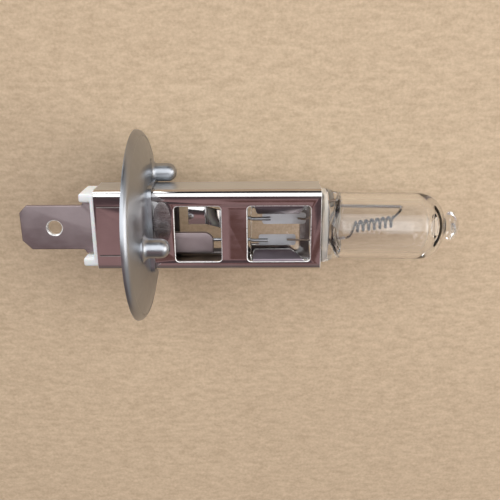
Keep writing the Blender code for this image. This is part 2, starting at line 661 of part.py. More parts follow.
def filament_points():
    """Rear leg, coil about a slightly rising axis, and front leg up to the long lead's end."""
    front_x = FILAMENT_REAR_X + FILAMENT_LENGTH
    reach = INNER_LEAD_RADIUS + FILAMENT_WIRE_RADIUS + WELD_GAP
    points = [
        (SHORT_LEAD_FRONT_X + WELD_GAP, SHORT_LEAD_Y, 0.0),
        (SHORT_LEAD_FRONT_X + FILAMENT_WIRE_RADIUS, SHORT_LEAD_Y, 0.0),
        (SHORT_LEAD_FRONT_X + 0.5 * MM, SHORT_LEAD_Y + 0.3 * MM, 0.0),
        (FILAMENT_REAR_X - 0.25 * MM, FILAMENT_REAR_Y, 0.0),
    ]
    steps = FILAMENT_TURNS * FILAMENT_STEPS
    for step in range(steps + 1):
        share = step / steps
        turn = 2 * math.pi * FILAMENT_TURNS * share
        centre_y = FILAMENT_REAR_Y + share * (FILAMENT_FRONT_Y - FILAMENT_REAR_Y)
        y = centre_y + FILAMENT_COIL_RADIUS * math.cos(turn)
        z = FILAMENT_COIL_RADIUS * math.sin(turn)
        points.append((FILAMENT_REAR_X + share * FILAMENT_LENGTH, y, z))
    middle_y = (FILAMENT_FRONT_Y + FILAMENT_COIL_RADIUS + LONG_LEAD_Y) / 2
    points.append((front_x + 0.5 * (LONG_LEAD_FRONT_X - front_x), middle_y, 0.0))
    points.append((LONG_LEAD_FRONT_X - FILAMENT_WIRE_RADIUS, LONG_LEAD_Y - reach, 0.0))
    return points


def make_filament(tungsten):
    add_part("filament_coil", wire_curve("filament_coil", filament_points(), FILAMENT_WIRE_RADIUS), tungsten)


def make_strap(steel):
    low_z = OUTER_LEAD_RADIUS + WELD_GAP + STRAP_THICKNESS / 2
    high_z = SLEEVE_INNER_DEPTH / 2 - WELD_GAP - STRAP_THICKNESS / 2
    path = [(STRAP_REAR_X, low_z), (STRAP_BEND_X, low_z), (STRAP_RISE_X, high_z), (STRAP_FRONT_X, high_z)]
    mesh_data = bmesh.new()
    ends = [mesh_data.verts.new((x, STRAP_BOTTOM_Y, z)) for x, z in path]
    edges = [mesh_data.edges.new(pair) for pair in zip(ends, ends[1:])]
    grown = bmesh.ops.extrude_edge_only(mesh_data, edges=edges)["geom"]
    moved = [item for item in grown if isinstance(item, bmesh.types.BMVert)]
    bmesh.ops.translate(mesh_data, vec=(0, STRAP_WIDTH, 0), verts=moved)
    mesh = bpy.data.meshes.new("ground_strap")
    mesh_data.to_mesh(mesh)
    mesh_data.free()
    strap = add_part("ground_strap", mesh, steel)
    thickness = strap.modifiers.new("sheet", "SOLIDIFY")
    thickness.thickness = STRAP_THICKNESS
    thickness.offset = 0.0
    thickness.use_even_offset = True


def make_part():
    steel = finish("nickel_plated_steel", (0.56, 0.51, 0.50), 0.22, 1.0)
    satin = finish("satin_flange_steel", (0.52, 0.49, 0.46), 0.30, 1.0)
    tinned = finish("tinned_blade_steel", (0.42, 0.37, 0.36), 0.38, 1.0)
    ceramic = finish("steatite", (0.78, 0.82, 0.83), 0.55, 0.0)
    quartz = finish("fused_quartz", (0.95, 0.96, 0.97), 0.03, 0.0, transmission=1.0)
    molybdenum = finish("molybdenum", (0.38, 0.40, 0.43), 0.35, 1.0)
    tungsten = finish("tungsten", (0.25, 0.25, 0.26), 0.40, 1.0)
    make_blade(tinned)
    make_ceramic(ceramic)
    make_sleeve(steel)
    make_flange(satin)
    make_envelope(quartz)
    make_foils(molybdenum)
    make_leads(molybdenum, tungsten)
    make_filament(tungsten)
    make_strap(steel)


make_part()
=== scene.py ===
import math

import bmesh
import bpy
from mathutils import Matrix, Vector


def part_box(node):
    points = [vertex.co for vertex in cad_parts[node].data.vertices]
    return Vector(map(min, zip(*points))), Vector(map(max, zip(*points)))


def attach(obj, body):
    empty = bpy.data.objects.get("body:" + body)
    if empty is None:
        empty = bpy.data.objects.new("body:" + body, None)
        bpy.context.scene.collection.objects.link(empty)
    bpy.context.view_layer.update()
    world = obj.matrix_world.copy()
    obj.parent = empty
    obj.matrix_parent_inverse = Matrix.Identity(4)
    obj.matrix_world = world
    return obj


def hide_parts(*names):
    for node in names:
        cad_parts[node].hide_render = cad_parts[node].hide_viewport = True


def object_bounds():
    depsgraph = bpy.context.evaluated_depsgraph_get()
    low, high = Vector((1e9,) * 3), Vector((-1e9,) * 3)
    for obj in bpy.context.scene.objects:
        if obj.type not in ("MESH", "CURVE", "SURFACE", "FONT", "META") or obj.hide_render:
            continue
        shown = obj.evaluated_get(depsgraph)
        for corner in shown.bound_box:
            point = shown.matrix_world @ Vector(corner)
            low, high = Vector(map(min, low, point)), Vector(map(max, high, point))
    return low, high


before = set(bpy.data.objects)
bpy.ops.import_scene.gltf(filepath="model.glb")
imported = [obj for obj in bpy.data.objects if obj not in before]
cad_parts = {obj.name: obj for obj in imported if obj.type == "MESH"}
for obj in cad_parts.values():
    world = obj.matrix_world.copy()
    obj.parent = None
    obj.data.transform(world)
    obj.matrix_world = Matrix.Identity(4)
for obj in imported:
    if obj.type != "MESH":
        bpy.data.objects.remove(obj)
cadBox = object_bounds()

mm = 0.001
print("stage: frame loaded")

sleeveLow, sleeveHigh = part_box("base_sleeve")
flangeLow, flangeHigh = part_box("focus_flange")
glassLow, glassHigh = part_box("quartz_envelope")
bladeLow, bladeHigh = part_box("terminal_blade")
seatX = flangeHigh[0]  # the plane of the three boss tips
floorZ = cadBox[0][2]
burnerLean = 1.1  # degrees


# Turns a bmesh into a piece with its materials, shaded smooth.
def keep(name, bm, materials, smoothAngle=35):
    mesh = bpy.data.meshes.new(name)
    bm.to_mesh(mesh)
    bm.free()
    piece = bpy.data.objects.new(name, mesh)
    bpy.context.scene.collection.objects.link(piece)
    for material in materials:
        mesh.materials.append(material)
    mesh.shade_smooth()
    mesh.set_sharp_from_angle(angle=math.radians(smoothAngle))
    return piece


# Writes the piece's modifiers into its mesh.
def applyAll(piece):
    graph = bpy.context.evaluated_depsgraph_get()
    mesh = bpy.data.meshes.new_from_object(piece.evaluated_get(graph))
    old = piece.data
    piece.modifiers.clear()
    piece.data = mesh
    bpy.data.meshes.remove(old)


def cutWith(piece, tool, operation="DIFFERENCE"):
    boolean = piece.modifiers.new("cut", "BOOLEAN")
    boolean.operation = operation
    boolean.solver = "EXACT"
    boolean.material_mode = "TRANSFER"
    boolean.object = tool
    applyAll(piece)
    bpy.data.objects.remove(tool)


# Rounds edges; the new faces can take another of the piece's finishes.
def roundEdges(bm, edges, offset, segments, finish=None, clamp=False):
    rounded = bmesh.ops.bevel(bm, geom=edges, offset=offset, segments=segments, profile=0.5,
                              affect="EDGES", material=-1, clamp_overlap=clamp)
    if finish is not None:
        for face in rounded["faces"]:
            face.material_index = finish


# A box whose edges along one axis are rounded.
def roundedBox(low, high, axis=0, corner=0.0, segments=6):
    bm = bmesh.new()
    bmesh.ops.create_cube(bm, size=1.0)
    bmesh.ops.scale(bm, vec=[b - a for a, b in zip(low, high)], verts=bm.verts)
    bmesh.ops.translate(bm, vec=[(a + b) / 2 for a, b in zip(low, high)], verts=bm.verts)
    if corner:
        edges = [e for e in bm.edges if abs((e.verts[1].co - e.verts[0].co)[axis]) > corner / 10]
        roundEdges(bm, edges, corner, segments)
    return bm


# Points on an ellipse arc, from the start angle to the stop angle.
def arcPoints(centre, radii, start, stop, steps):
    angles = [math.radians(start + (stop - start) * i / steps) for i in range(steps + 1)]
    return [(centre[0] + radii[0] * math.cos(a), centre[1] + radii[1] * math.sin(a))
            for a in angles]


# Spins (x, radius) points about a line along X through centre (y, z).
def spunShape(profile, steps, centre=(0.0, 0.0)):
    bm = bmesh.new()
    ring = [bm.verts.new((x, radius, 0.0)) for x, radius in profile]
    edges = [bm.edges.new(pair) for pair in zip(ring, ring[1:])]
    bmesh.ops.spin(bm, geom=ring + edges, cent=(0, 0, 0), axis=(1, 0, 0), angle=2 * math.pi,
                   steps=steps, use_merge=True)
    bmesh.ops.remove_doubles(bm, verts=bm.verts, dist=0.0001 * mm)
    bmesh.ops.recalc_face_normals(bm, faces=bm.faces)
    bmesh.ops.translate(bm, vec=(0, centre[0], centre[1]), verts=bm.verts)
    return bm


# A flat plate from an outline in XY, by extruding one face.
def outlinePlate(outline, thickness, middleZ):
    bm = bmesh.new()
    face = bm.faces.new([bm.verts.new((x, y, middleZ - thickness / 2)) for x, y in outline])
    grown = bmesh.ops.extrude_face_region(bm, geom=[face])["geom"]
    moved = [item for item in grown if isinstance(item, bmesh.types.BMVert)]
    bmesh.ops.translate(bm, vec=(0, 0, thickness), verts=moved)
    bmesh.ops.recalc_face_normals(bm, faces=bm.faces)
    return bm


# A round wire with closed ends along the points, as a mesh.
def wirePiece(name, points, radius, material, sides=10):
    curve = bpy.data.curves.new(name, "CURVE")
    curve.dimensions = "3D"
    curve.bevel_depth = radius
    curve.bevel_resolution = sides // 2 - 2
    curve.use_fill_caps = True
    spline = curve.splines.new("POLY")
    spline.points.add(len(points) - 1)
    for target, point in zip(spline.points, points):
        target.co = (*point, 1.0)
    carrier = bpy.data.objects.new(name, curve)
    bpy.context.scene.collection.objects.link(carrier)
    graph = bpy.context.evaluated_depsgraph_get()
    mesh = bpy.data.meshes.new_from_object(carrier.evaluated_get(graph))
    bpy.data.objects.remove(carrier)
    bm = bmesh.new()
    bm.from_mesh(mesh)
    bpy.data.meshes.remove(mesh)
    bmesh.ops.remove_doubles(bm, verts=bm.verts, dist=0.0001 * mm)
    return keep(name, bm, [material], 50)


# Evenly spread points on a smooth curve through the route's own points.
def smoothRoute(points, count):
    ends = [points[0] * 2 - points[1]] + points + [points[-1] * 2 - points[-2]]
    dense = []
    for a, b, c, d in zip(ends, ends[1:], ends[2:], ends[3:]):
        for step in range(24):
            t = step / 24
            dense.append(0.5 * (2 * b + (c - a) * t + (2 * a - 5 * b + 4 * c - d) * t * t
                                + (3 * b - a - 3 * c + d) * t ** 3))
    dense.append(points[-1])
    lengths = [0.0]
    for p, q in zip(dense, dense[1:]):
        lengths.append(lengths[-1] + (q - p).length)
    result = []
    spot = 0
    for step in range(count):
        wanted = lengths[-1] * step / (count - 1)
        while spot < len(dense) - 2 and lengths[spot + 1] < wanted:
            spot += 1
        span = lengths[spot + 1] - lengths[spot]
        share = (wanted - lengths[spot]) / span if span else 0.0
        result.append(dense[spot].lerp(dense[spot + 1], share))
    return result


# A helix of the given radius wound round a route of close points.
def coilAround(route, radius, pitch, stepsPerTurn):
    lengths = [0.0]
    for p, q in zip(route, route[1:]):
        lengths.append(lengths[-1] + (q - p).length)
    total = lengths[-1]
    steps = int(total / pitch * stepsPerTurn)
    side = Vector((0, 0, 1))
    points = []
    spot = 0
    for step in range(steps + 1):
        wanted = total * step / steps
        while spot < len(route) - 2 and lengths[spot + 1] < wanted:
            spot += 1
        share = (wanted - lengths[spot]) / max(lengths[spot + 1] - lengths[spot], 1e-12)
        centre = route[spot].lerp(route[spot + 1], share)
        along = (route[spot + 1] - route[spot]).normalized()
        side = (side - along * side.dot(along)).normalized()
        up = along.cross(side)
        turn = 2 * math.pi * step / stepsPerTurn
        points.append(centre + radius * (math.cos(turn) * side + math.sin(turn) * up))
    return points


# The burner is sealed a little off the base's axis, turned about the front of the pinch.
def leanBurner(piece):
    hinge = (sleeveHigh[0] - 1.0 * mm, 0, 0)
    turn = Matrix.Rotation(math.radians(-burnerLean), 4, "Z")
    move = Matrix.Translation(hinge) @ turn @ Matrix.Translation([-v for v in hinge])
    piece.data.transform(move)


def finished(piece, slot, *nodes):
    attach(piece, "root")
    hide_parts(*nodes)



# Short ways to add and link shader nodes of one material.
class Nodes:
    def __init__(self, name):
        self.material = bpy.data.materials.new(name)
        self.material.use_nodes = True
        self.tree = self.material.node_tree
        self.shader = self.tree.nodes["Principled BSDF"]
        self.coords = self.tree.nodes.new("ShaderNodeTexCoord")

    def set(self, **values):
        for key, value in values.items():
            self.shader.inputs[key.replace("_", " ")].default_value = value

    def link(self, source, target):
        self.tree.links.new(source, target)

    def stretch(self, scale):
        mapping = self.tree.nodes.new("ShaderNodeMapping")
        mapping.inputs["Scale"].default_value = scale
        self.link(self.coords.outputs["Object"], mapping.inputs["Vector"])
        return mapping.outputs["Vector"]

    def noise(self, scale, detail=3.0, stretch=(1, 1, 1), roughness=0.55):
        node = self.tree.nodes.new("ShaderNodeTexNoise")
        node.inputs["Scale"].default_value = scale
        node.inputs["Detail"].default_value = detail
        node.inputs["Roughness"].default_value = roughness
        self.link(self.stretch(stretch), node.inputs["Vector"])
        return node.outputs["Fac"]

    def spots(self, scale, stretch=(1, 1, 1)):
        node = self.tree.nodes.new("ShaderNodeTexVoronoi")
        node.inputs["Scale"].default_value = scale
        self.link(self.stretch(stretch), node.inputs["Vector"])
        return node.outputs["Distance"]

    def remap(self, value, low, high, outLow, outHigh):
        node = self.tree.nodes.new("ShaderNodeMapRange")
        for index, number in enumerate((low, high, outLow, outHigh)):
            node.inputs[index + 1].default_value = number
        self.link(value, node.inputs[0])
        return node.outputs[0]

    def blend(self, factor, first, second):
        node = self.tree.nodes.new("ShaderNodeMix")
        node.data_type = "RGBA"
        self.link(factor, node.inputs[0])
        for socket, value in ((node.inputs[6], first), (node.inputs[7], second)):
            if isinstance(value, tuple):
                socket.default_value = (*value, 1.0)
            else:
                self.link(value, socket)
        return node.outputs[2]

    def add(self, first, second):
        node = self.tree.nodes.new("ShaderNodeMath")
        node.operation = "ADD"
        self.link(first, node.inputs[0])
        self.link(second, node.inputs[1])
        return node.outputs[0]

    def band(self, low, high, soft):  # 1 between two places along X, 0 elsewhere
        split = self.tree.nodes.new("ShaderNodeSeparateXYZ")
        self.link(self.coords.outputs["Object"], split.inputs[0])
        rise = self.remap(split.outputs["X"], low - soft, low, 0.0, 1.0)
        fall = self.remap(split.outputs["X"], high, high + soft, 0.0, 1.0)
        node = self.tree.nodes.new("ShaderNodeMath")
        node.operation = "SUBTRACT"
        self.link(rise, node.inputs[0])
        self.link(fall, node.inputs[1])
        return node.outputs[0]

    def bump(self, height, strength, distance):
        node = self.tree.nodes.new("ShaderNodeBump")
        node.inputs["Strength"].default_value = strength
        node.inputs["Distance"].default_value = distance
        self.link(height, node.inputs["Height"])
        self.link(node.outputs["Normal"], self.shader.inputs["Normal"])

    def output(self, value, socket):
        self.link(value, self.shader.inputs[socket])


nickelLook = {"tint": (0.63, 0.605, 0.59), "shade": (0.55, 0.52, 0.505), "gloss": (0.05, 0.12)}


# Bright nickel plate on folded sheet: faint waviness, fine scuffs across the length, tiny pits.
def makeNickel():
    n = Nodes("nickelPlate")
    n.set(Metallic=1.0)
    cloud = n.remap(n.noise(180, 3), 0.35, 0.7, 0.0, 1.0)
    n.output(n.blend(cloud, nickelLook["tint"], nickelLook["shade"]), "Base Color")
    scuff = n.noise(1500, 4, (0.25, 1.0, 1.0), 0.7)
    n.output(n.remap(scuff, 0.35, 0.75, *nickelLook["gloss"]), "Roughness")
    wave = n.noise(260, 2)
    fine = n.remap(n.spots(2600), 0.0, 0.18, -0.12, 0.0)
    n.bump(n.add(n.add(wave, fine), n.remap(scuff, 0.0, 1.0, 0.0, 0.10)), 0.22, 0.03 * mm)
    return n.material


sideLook = {"tint": (0.72, 0.73, 0.74), "shade": (0.62, 0.625, 0.63), "gloss": (0.34, 0.46)}
# pressed pads: darker mauve, painted shade and painted mauve reflection on the domes
padShadeLook = {"tint": (0.37, 0.33, 0.325), "shade": (0.24, 0.205, 0.205), "gloss": (0.20, 0.32)}
# window flaps: dark mauve, painted shade for the flaps bent into the windows, and painted mauve
# reflection
flapShadeLook = {"tint": (0.27, 0.225, 0.245), "shade": (0.18, 0.15, 0.17), "gloss": (0.32, 0.44)}


# Nickel with a rolled grain along the length, in a given look: worn on the narrow sides, painted
# shade and painted mauve reflection on the flaps and pads.
def makeWornAndShadedNickel(name, look):
    n = Nodes(name)
    n.set(Metallic=1.0)
    grain = n.noise(1500, 4, (0.2, 1.0, 1.0), 0.65)
    n.output(n.blend(n.noise(300, 3), look["tint"], look["shade"]), "Base Color")
    n.output(n.remap(grain, 0.3, 0.7, *look["gloss"]), "Roughness")
    n.bump(grain, 0.15, 0.02 * mm)
    return n.material


# The inside of the sleeve and the bottoms of the panel grooves, painted dark as shade.
def makeShadedInsideNickel():
    n = Nodes("shadedInsideNickel")
    n.set(Metallic=1.0)
    cloud = n.noise(420, 3)
    n.output(n.blend(cloud, (0.12, 0.105, 0.10), (0.26, 0.23, 0.22)), "Base Color")
    n.output(n.remap(cloud, 0.3, 0.7, 0.28, 0.42), "Roughness")
    n.bump(cloud, 0.25, 0.02 * mm)
    return n.material


# Freshly sheared steel along the window edges and on the flap, end and hole edges, whiter and more
# matt than the plate: partly the real bright cut, partly a painted highlight.
def makeEdgeHighlight():
    n = Nodes("shearedEdgeHighlight")
    n.set(Metallic=0.55)
    grain = n.noise(4000, 3, (1, 1, 0.2))
    n.output(n.blend(grain, (0.86, 0.84, 0.82), (0.98, 0.97, 0.95)), "Base Color")
    n.output(n.remap(grain, 0.3, 0.7, 0.20, 0.42), "Roughness")
    n.bump(grain, 0.3, 0.01 * mm)
    return n.material


satinLook = {"tint": (0.385, 0.40, 0.43), "shade": (0.35, 0.365, 0.39), "gloss": (0.28, 0.36)}


# Pressed and barrel-polished flange steel, with faint rings and speckle.
def makeSatin():
    n = Nodes("satinFlange")
    n.set(Metallic=1.0)
    cloud = n.remap(n.noise(240, 4), 0.35, 0.7, 0.0, 1.0)
    n.output(n.blend(cloud, satinLook["tint"], satinLook["shade"]), "Base Color")
    speck = n.noise(900, 2)
    n.output(n.remap(speck, 0.3, 0.7, *satinLook["gloss"]), "Roughness")
    n.bump(n.noise(180, 2), 0.04, 0.03 * mm)
    return n.material


bladeLook = {"tint": (0.39, 0.325, 0.33), "shade": (0.32, 0.265, 0.27), "gloss": (0.46, 0.62)}


# Matt tin plate with a rolled grain along the blade and small scratches; its mauve tint is partly a
# painted reflection of the mauve room.
def makeBladeTin():
    n = Nodes("matteTin")
    n.set(Metallic=1.0)
    grain = n.noise(1100, 4, (0.45, 1.0, 1.0), 0.65)
    cloud = n.noise(300, 3)
    mixed = n.remap(n.add(grain, cloud), 0.75, 1.3, 0.0, 1.0)
    n.output(n.blend(mixed, bladeLook["shade"], bladeLook["tint"]), "Base Color")
    n.output(n.remap(grain, 0.3, 0.7, *bladeLook["gloss"]), "Roughness")
    n.bump(n.add(grain, n.remap(n.spots(1900), 0.0, 0.2, -0.2, 0.0)), 0.4, 0.02 * mm)
    return n.material


# Unglazed white steatite: chalky, with a fine sand grain.
def makeCeramic():
    n = Nodes("whiteSteatite")
    n.set(Roughness=0.62, Subsurface_Weight=0.15, Subsurface_Scale=0.4 * mm)
    grain = n.noise(2400, 4)
    cloud = n.noise(420, 3)
    n.output(n.blend(cloud, (0.86, 0.89, 0.885), (0.96, 0.975, 0.965)), "Base Color")
    n.bump(n.add(grain, cloud), 0.35, 0.04 * mm)
    return n.material


sealFloorReflection = {  # milky cream ring where the pinch meets the tube: a painted reflection of the pale floor seen through the glass there
    "rearX": sleeveHigh[0] + 0.05 * mm,
    "frontX": sleeveHigh[0] + 0.70 * mm,
    "soft": 0.22 * mm,
    "tint": (0.95, 0.89, 0.79),
    "amount": 0.6,
}


# Clear fire-polished quartz with a very faint draw along the tube, and a milky cream ring at the
# pinch painted as a reflection of the pale floor.
def makeQuartz():
    n = Nodes("fusedQuartz")
    n.set(IOR=1.458)
    reflectionRing = n.band(sealFloorReflection["rearX"], sealFloorReflection["frontX"], sealFloorReflection["soft"])
    n.output(n.blend(reflectionRing, (0.985, 0.99, 1.0), sealFloorReflection["tint"]), "Base Color")
    n.output(n.remap(reflectionRing, 0.0, 1.0, 1.0, 1.0 - sealFloorReflection["amount"]), "Transmission Weight")
    draw = n.noise(520, 2, (0.12, 1.0, 1.0))
    n.output(n.remap(n.noise(900, 2), 0.3, 0.7, 0.0, 0.025), "Roughness")
    n.bump(draw, 0.10, 0.02 * mm)
    return n.material


# Etched molybdenum foil, bluish grey.
def makeFoil():
    n = Nodes("molybdenumFoil")
    n.set(Metallic=1.0)
    streak = n.noise(1100, 3, (0.2, 1.0, 1.0))
    n.output(n.blend(streak, (0.48, 0.50, 0.53), (0.70, 0.72, 0.75)), "Base Color")
    n.output(n.remap(streak, 0.3, 0.7, 0.32, 0.50), "Roughness")
    n.bump(streak, 0.3, 0.02 * mm)
    return n.material


# Drawn wire with lengthwise streaks.
def makeWire(name, dark, light, gloss):
    n = Nodes(name)
    n.set(Metallic=1.0)
    streak = n.noise(2600, 3, (0.15, 1.0, 1.0))
    n.output(n.blend(streak, dark, light), "Base Color")
    n.output(n.remap(streak, 0.3, 0.7, *gloss), "Roughness")
    n.bump(streak, 0.25, 0.01 * mm)
    return n.material


nickel = makeNickel()
shadedInsideNickel = makeShadedInsideNickel()
sideNickel = makeWornAndShadedNickel("sideNickel", sideLook)
flapShadedNickel = makeWornAndShadedNickel("flapShadedNickel", flapShadeLook)
padShadedNickel = makeWornAndShadedNickel("padShadedNickel", padShadeLook)
edgeHighlight = makeEdgeHighlight()
satin = makeSatin()
bladeTin = makeBladeTin()
steatite = makeCeramic()
quartz = makeQuartz()
foilGrey = makeFoil()
molyWire = makeWire("molybdenumWire", (0.30, 0.31, 0.33), (0.52, 0.53, 0.56), (0.22, 0.36))
leadBrown = makeWire("sealedLead", (0.24, 0.19, 0.155), (0.38, 0.31, 0.26), (0.34, 0.46))
tungsten = makeWire("tungstenWire", (0.07, 0.07, 0.075), (0.24, 0.24, 0.255), (0.20, 0.32))
brightWind = makeWire("overwindWire", (0.46, 0.50, 0.55), (0.72, 0.77, 0.82), (0.22, 0.34))
print("stage: materials made")

blade = {
    "width": 6.3 * mm,
    "cornerTop": 1.0 * mm,
    "cornerBottom": 1.3 * mm,
    "holeX": 4.7 * mm,  # from the blade's end
    "holeRadius": 1.0 * mm,
    "holeSink": 0.26 * mm,
    "shoulderX": 8.4 * mm,  # from the blade's end
    "shoulderFillet": 0.4 * mm,
    "neckX": 12.5 * mm,
    "tongueWidth": 2.9 * mm,
    "tongueCorner": 1.3 * mm,
    "tongueMiddleY": -2.245 * mm,
    "edge": 0.16 * mm,
    "weldX": 1.75 * mm,  # from the tongue's end
    "weldRadius": 0.42 * mm,
}


def makeBlade():
    endX = bladeLow[0]
    half = blade["width"] / 2
    shoulder = bladeHigh[1]
    thickness = bladeHigh[2] - bladeLow[2]
    topY = blade["tongueMiddleY"] + blade["tongueWidth"] / 2
    bottomY = blade["tongueMiddleY"] - blade["tongueWidth"] / 2
    neckX = endX + blade["neckX"]
    riseX = endX + blade["shoulderX"]
    fillet = blade["shoulderFillet"]
    corner = (bladeHigh[0] - blade["tongueCorner"], topY - blade["tongueCorner"])
    outline = [
        (endX, half - blade["cornerTop"]),
        (endX, blade["cornerBottom"] - half),
        (endX + blade["cornerBottom"], -half),
        *arcPoints((riseX, -half - fillet), (fillet, fillet), 90, 20, 4),
        (riseX + fillet + 0.1 * mm, -shoulder),
        (neckX, -shoulder),
        (bladeHigh[0], bottomY),
        *arcPoints(corner, (blade["tongueCorner"], blade["tongueCorner"]), 0, 90, 12),
        (neckX, topY),
        (neckX, shoulder),
        (riseX + fillet + 0.1 * mm, shoulder),
        *arcPoints((riseX, half + fillet), (fillet, fillet), -20, -90, 4),
        (endX + blade["cornerTop"], half),
    ]
    middleZ = (bladeLow[2] + bladeHigh[2]) / 2
    bm = outlinePlate(outline, thickness, middleZ)
    rims = [e for e in bm.edges if abs(e.verts[0].co.z - e.verts[1].co.z) < thickness / 10]
    roundEdges(bm, rims, blade["edge"], 3, clamp=True)
    piece = keep("bladeTerminal", bm, [bladeTin], 30)
    sink = blade["holeSink"]
    radius = blade["holeRadius"]
    profile = [(-thickness, 0.0), (-thickness, radius + sink + thickness / 2),
               (-thickness / 2 + sink * 0.55, radius), (thickness / 2 - sink * 0.55, radius),
               (thickness, radius + sink + thickness / 2), (thickness, 0.0)]
    drill = spunShape(profile, 40)
    quarter = Matrix.Rotation(math.pi / 2, 3, "Y")
    bmesh.ops.rotate(drill, cent=(0, 0, 0), matrix=quarter, verts=drill.verts)
    bmesh.ops.translate(drill, vec=(endX + blade["holeX"], 0, middleZ), verts=drill.verts)
    cutWith(piece, keep("bladeDrill", drill, [edgeHighlight]))
    weld = bmesh.new()
    bmesh.ops.create_cone(weld, cap_ends=True, segments=28, radius1=blade["weldRadius"] * 1.15,
                          radius2=blade["weldRadius"], depth=0.10 * mm)
    place = (bladeHigh[0] - blade["weldX"], blade["tongueMiddleY"], bladeHigh[2])
    bmesh.ops.translate(weld, vec=place, verts=weld.verts)
    cutWith(piece, keep("weldDent", weld, [bladeTin]))
    piece.data.set_sharp_from_angle(angle=math.radians(30))
    finished(piece, "blade_steel", "terminal_blade")


ceramic = {
    "rearX": 0.55 * mm,  # how far the block's rear face stands behind the sleeve
    "corner": 0.5 * mm,
    "earHeight": 1.25 * mm,
    "earInset": 0.04 * mm,
    "earRound": 0.36 * mm,
    "earSink": 0.6 * mm,
    "slotGap": 0.1 * mm,
}


def makeCeramicBlock():
    low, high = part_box("ceramic_insulator")
    rearX = sleeveLow[0] - ceramic["rearX"]
    bm = roundedBox((rearX, low[1], low[2]), high, 0, ceramic["corner"], 5)
    block = keep("ceramicInsulator", bm, [steatite], 40)
    for side in (-1, 1):
        outer = side * (high[1] - ceramic["earInset"])
        inner = side * (high[1] - ceramic["earInset"] - ceramic["earHeight"])
        reach = high[2] - ceramic["earInset"]
        ear = roundedBox((low[0], min(outer, inner), -reach),
                         (rearX + ceramic["earSink"], max(outer, inner), reach))
        roundEdges(ear, list(ear.edges), ceramic["earRound"], 5)
        cutWith(block, keep("earTool", ear, [steatite]), "UNION")
    gap = ceramic["slotGap"]
    slots = (
        ((low[0] - gap, bladeLow[1] - gap),
         (bladeLow[0] + blade["neckX"] + gap, bladeHigh[1] + gap)),
        ((bladeLow[0] + blade["neckX"] - gap, bladeLow[1] - gap),
         (high[0] + gap, blade["tongueMiddleY"] + blade["tongueWidth"] / 2 + gap)),
    )
    for (x0, y0), (x1, y1) in slots:
        slot = roundedBox((x0, y0, bladeLow[2] - gap), (x1, y1, bladeHigh[2] + gap))
        cutWith(block, keep("slotTool", slot, [steatite]))
    block.data.set_sharp_from_angle(angle=math.radians(40))
    finished(block, "ceramic", "ceramic_insulator")


sleeve = {
    "depth": 6.3 * mm,
    "wall": 0.35 * mm,
    "corner": 0.9 * mm,
    "windowTop": 3.43 * mm,
    "windowBottom": -4.30 * mm,
    "windowCorner": 0.45 * mm,
    "rearWindow": (0.14 * mm, 6.42 * mm),  # from the seat plane
    "frontWindow": (9.99 * mm, 18.5 * mm),
    "lip": 0.11 * mm,  # rolled edge of the windows
    "endRound": 0.07 * mm,
    "flapRound": 0.10 * mm,
    "flapTip": 0.28 * mm,
    "flapStart": 0.25 * mm,  # how far a flap reaches back into the wall
    "pinchHalf": 1.45 * mm,
    "flapAngle": 47,
    "flapBend": 0.45 * mm,
    "flapTop": (1.0 * mm, 0.25 * mm, 0.3 * mm),  # inset, slant at the rear, slant at the front
    "flapBottom": (0.7 * mm, 0.12 * mm, 1.8 * mm),
    "panelGroove": (3.45 * mm, -3.40 * mm),
    "grooveWidth": 0.22 * mm,
    "grooveDepth": 0.035 * mm,
    "grooveLength": 7 * mm,
    "grooveMiddle": 3.9 * mm,  # from the rear end
    "padRadii": (1.4 * mm, 3.3 * mm, 0.17 * mm),
    "padPlace": (-1.5 * mm, 1.2 * mm, -0.08 * mm),  # from the seat plane, the axis and the wall
}


def sleeveShell():
    half = sleeve["depth"] / 2
    wall = sleeve["wall"]
    outer = roundedBox((sleeveLow[0], sleeveLow[1], -half), (sleeveHigh[0], sleeveHigh[1], half),
                       0, sleeve["corner"], 12)
    ends = [e for e in outer.edges if abs(e.verts[0].co.x - e.verts[1].co.x) < 0.01 * mm]
    roundEdges(outer, ends, sleeve["endRound"], 3, finish=1)
    shell = keep("baseSleeve", outer, [nickel, edgeHighlight])
    inner = roundedBox((sleeveLow[0] - wall, sleeveLow[1] + wall, wall - half),
                       (sleeveHigh[0] + wall, sleeveHigh[1] - wall, half - wall),
                       0, sleeve["corner"] - wall, 8)
    cutWith(shell, keep("hollowTool", inner, [shadedInsideNickel]))
    return shell


# True for a point of the outer wall that lies on the edge of a window.
def onWindowOutline(point, half):
    if abs(abs(point.z) - half) > 0.01 * mm:
        return False
    if not sleeve["windowBottom"] - 0.01 * mm < point.y < sleeve["windowTop"] + 0.01 * mm:
        return False
    for x0, x1 in (sleeve["rearWindow"], sleeve["frontWindow"]):
        if seatX + x0 - 0.01 * mm < point.x < seatX + x1 + 0.01 * mm:
            return True
    return False


def cutWindows(shell):
    half = sleeve["depth"] / 2
    for x0, x1 in (sleeve["rearWindow"], sleeve["frontWindow"]):
        tool = roundedBox((seatX + x0, sleeve["windowBottom"], -2 * half),
                          (seatX + x1, sleeve["windowTop"], 2 * half), 2, sleeve["windowCorner"], 8)
        cutWith(shell, keep("windowTool", tool, [nickel]))
    bm = bmesh.new()
    bm.from_mesh(shell.data)
    bmesh.ops.dissolve_limit(bm, angle_limit=math.radians(0.2), verts=bm.verts, edges=bm.edges)
    rims = [e for e in bm.edges
            if all(onWindowOutline(v.co, half) for v in e.verts) and e.calc_face_angle(0) > 1.0]
    roundEdges(bm, rims, sleeve["lip"], 4, finish=1)
    bm.to_mesh(shell.data)
    bm.free()


